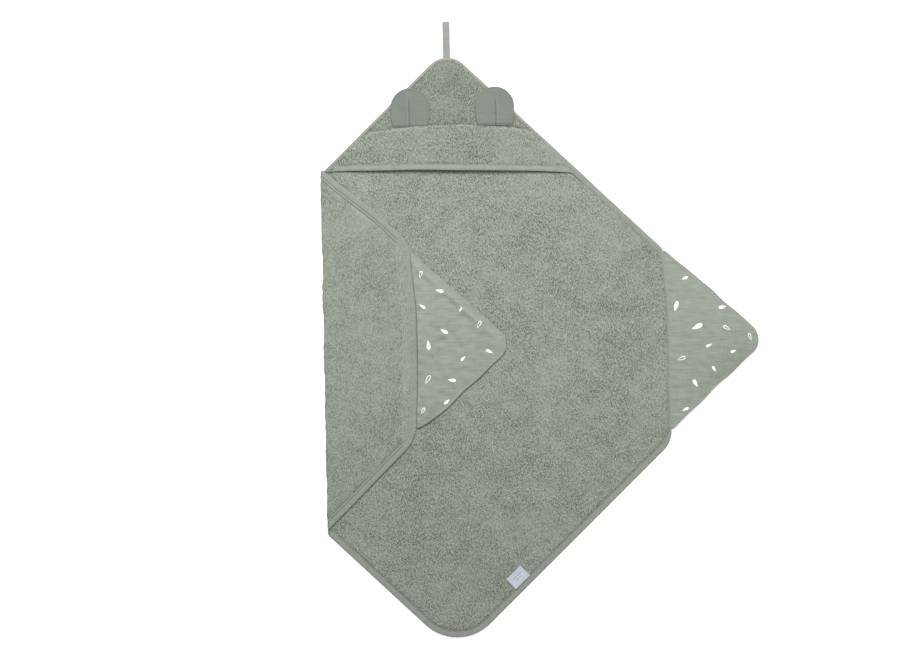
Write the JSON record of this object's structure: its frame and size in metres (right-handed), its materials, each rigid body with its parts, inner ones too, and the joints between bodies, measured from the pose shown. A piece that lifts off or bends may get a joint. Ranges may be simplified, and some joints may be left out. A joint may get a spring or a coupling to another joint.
{
  "type": "hooded baby towel",
  "caption": "Square terry baby towel with a corner hood and ears, two muslin corner mitts, bound edges and a hanging loop, lying flat with its left side folded over.",
  "frame": {"origin": "middle of the unfolded towel, on its underside", "axes": "+Y from the middle to the hood's tip, +X to the right mitt, +Z out of the towel's front, up from the surface that it lies on"},
  "size_m": [0.7416, 1.0554, 0.015],
  "materials": {
    "terry": "sage green cotton terry with a short looped pile",
    "printed_muslin": "sage green double muslin with a sparse white drop print",
    "plain_muslin": "plain sage green double muslin",
    "binding_tape": "sage green folded cotton tape with fine ribs",
    "label_satin": "blank white woven satin"
  },
  "bodies": {
    "towel_body": {"body_panel": "terry", "body_binding": "binding_tape"},
    "left_wing": {"left_wing_panel": "terry", "left_wing_binding": "binding_tape"},
    "hood": {"hood_crown": "terry", "hood_brow": "terry", "hood_side_binding": "binding_tape", "hood_mouth_binding": "binding_tape"},
    "left_ear": {"left_ear_front": "plain_muslin", "left_ear_back": "plain_muslin"},
    "right_ear": {"right_ear_front": "plain_muslin", "right_ear_back": "plain_muslin"},
    "left_mitt": {"left_mitt_front": "printed_muslin"},
    "left_mitt_back": {"left_mitt_back": "printed_muslin"},
    "right_mitt": {"right_mitt_front": "printed_muslin"},
    "right_mitt_back": {"right_mitt_back": "printed_muslin"},
    "hanging_loop": {"hanging_loop": "binding_tape"},
    "side_label": {"side_label": "label_satin"}
  },
  "joints": [
    {"name": "left_wing_fold", "type": "hinge", "parent": "towel_body", "child": "left_wing", "pos_m": [-0.2164, 0, 0.0038], "axis": [0, -1, 0], "range_deg": [0, 180]},
    {"name": "left_mitt_fold", "type": "hinge", "parent": "left_wing", "child": "left_mitt", "pos_m": [-0.05972, 0, 0.0115], "axis": [0, 1, 0], "range_deg": [-180, 0]},
    {"name": "left_mitt_mouth", "type": "hinge", "parent": "left_mitt", "child": "left_mitt_back", "pos_m": [0.09235, 0.012, 0.006], "axis": [0, 1, 0], "range_deg": [0, 12]},
    {"name": "right_mitt_fold", "type": "hinge", "parent": "towel_body", "child": "right_mitt", "pos_m": [0.37309, 0, 0.00715], "axis": [0, -1, 0], "range_deg": [0, 180]},
    {"name": "right_mitt_mouth", "type": "hinge", "parent": "right_mitt", "child": "right_mitt_back", "pos_m": [0.52516, 0.012, 0.001], "axis": [0, -1, 0], "range_deg": [0, 12]},
    {"name": "hood_open", "type": "hinge", "parent": "towel_body", "child": "hood", "pos_m": [0, 0.50135, 0.0061], "axis": [-1, 0, 0], "range_deg": [0, 15]},
    {"name": "left_ear_flip", "type": "hinge", "parent": "hood", "child": "left_ear", "pos_m": [-0.0645, 0.38723, 0.01392], "axis": [1, 0, 0], "range_deg": [0, 170]},
    {"name": "right_ear_flip", "type": "hinge", "parent": "hood", "child": "right_ear", "pos_m": [0.0805, 0.38723, 0.01358], "axis": [1, 0, 0], "range_deg": [0, 170]},
    {"name": "loop_swing", "type": "hinge", "parent": "towel_body", "child": "hanging_loop", "pos_m": [0, 0.50165, 0.0061], "axis": [1, 0, 0], "range_deg": [0, 140]},
    {"name": "label_flip", "type": "hinge", "parent": "towel_body", "child": "side_label", "pos_m": [0.11326, -0.39678, 0.0048], "axis": [0.721, 0.693, 0], "range_deg": [0, 160]}
  ]
}
